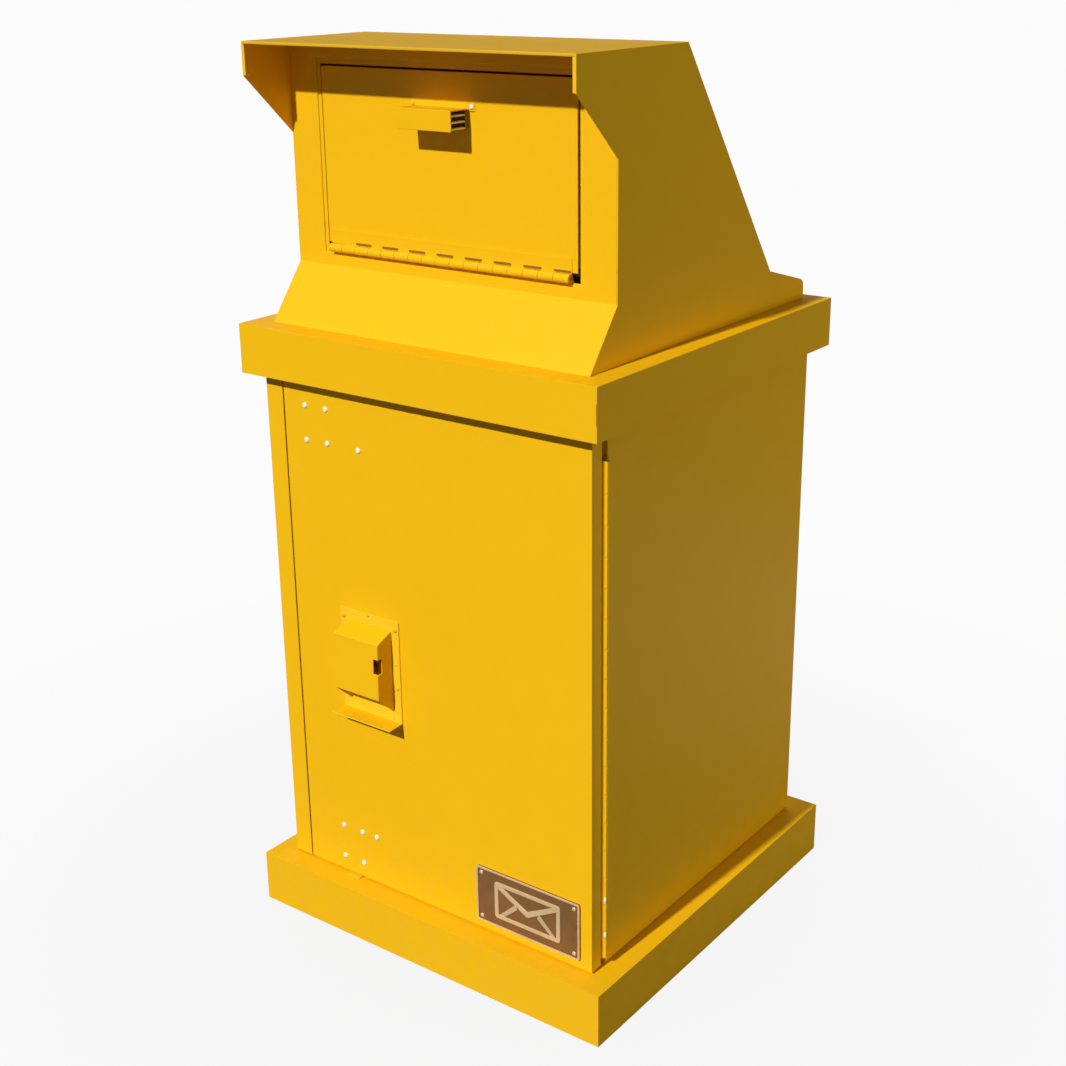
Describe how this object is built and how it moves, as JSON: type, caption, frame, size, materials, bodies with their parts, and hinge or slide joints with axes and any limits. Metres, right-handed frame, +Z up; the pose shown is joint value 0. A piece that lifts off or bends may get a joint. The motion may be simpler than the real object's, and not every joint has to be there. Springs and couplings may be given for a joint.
{
  "type": "steel mailbox",
  "caption": "Free-standing square steel mailbox with a pull-down hopper in its hooded head and a full-height door held by a key lock with two rods.",
  "frame": {"origin": "on the ground under the centre of the plinth", "axes": "+X to the viewer's right and the door's hinge side, +Y to the back, +Z up"},
  "size_m": [0.686, 0.686, 1.42],
  "materials": {
    "yellow_paint": "satin-gloss yellow enamel",
    "zinc_steel": "zinc plated",
    "lock_brass": "dull brass",
    "plate_bronze": "dark cast bronze with bright raised edges",
    "bare_aluminium": "bare domed heads",
    "rubber": "matte"
  },
  "bodies": {
    "cabinet": {"base_plinth": "yellow_paint", "floor_panel": "yellow_paint", "left_side_panel": "yellow_paint", "right_side_panel": "yellow_paint", "back_panel": "yellow_paint", "cap_band": "yellow_paint", "door_header": "yellow_paint", "front_sill": "yellow_paint", "head_left_side": "yellow_paint", "head_right_side": "yellow_paint", "head_front_panel": "yellow_paint", "hopper_frame": "yellow_paint", "visor_top": "yellow_paint", "head_back_panel": "yellow_paint", "mail_baffle": "yellow_paint", "head_hinge_leaf": "yellow_paint", "hopper_hinge_pin": "zinc_steel", "cabinet_hinge_leaf": "yellow_paint", "door_hinge_pin": "zinc_steel", "upper_keeper": "zinc_steel", "lower_keeper": "yellow_paint", "door_bumpers": "rubber"},
    "main_door": {"door_pan": "yellow_paint", "door_stiffener": "yellow_paint", "door_hinge_leaf": "yellow_paint", "lock_plate": "yellow_paint", "lock_hood": "yellow_paint", "lock_barrel": "lock_brass", "lock_plate_rivets": "yellow_paint", "upper_rod_guide": "zinc_steel", "lower_rod_guide": "zinc_steel", "guide_rivets": "bare_aluminium", "nameplate": "plate_bronze", "nameplate_screws": "plate_bronze"},
    "key_cam": {"key_plug": "lock_brass"},
    "upper_rod": {"upper_lock_rod": "zinc_steel"},
    "lower_rod": {"lower_lock_rod": "zinc_steel"},
    "hopper": {"hopper_door": "yellow_paint", "hopper_tray": "yellow_paint", "hopper_hinge_leaf": "yellow_paint", "hopper_handle": "yellow_paint", "handle_bars": "zinc_steel", "handle_rivets": "yellow_paint"}
  },
  "joints": [
    {"name": "door_swing", "type": "hinge", "parent": "cabinet", "child": "main_door", "pos_m": [0.307, -0.273, 0.5], "axis": [0, 0, 1], "range_deg": [0, 110]},
    {"name": "hopper_pull", "type": "hinge", "parent": "cabinet", "child": "hopper", "pos_m": [0, -0.232, 1.118], "axis": [1, 0, 0], "range_deg": [0, 50]},
    {"name": "key_turn", "type": "hinge", "parent": "main_door", "child": "key_cam", "pos_m": [-0.112, -0.3, 0.483], "axis": [0, -1, 0], "range_deg": [0, 90]},
    {"name": "upper_bolt", "type": "slide", "parent": "main_door", "child": "upper_rod", "axis": [0, 0, 1], "range_m": [0, 0.0226]},
    {"name": "lower_bolt", "type": "slide", "parent": "main_door", "child": "lower_rod", "axis": [0, 0, -1], "range_m": [0, 0.0226]}
  ],
  "couplings": [
    {"joint": "key_turn", "follows": "upper_bolt", "rad_per_m": 69.5},
    {"joint": "lower_bolt", "follows": "upper_bolt", "ratio": 1}
  ]
}
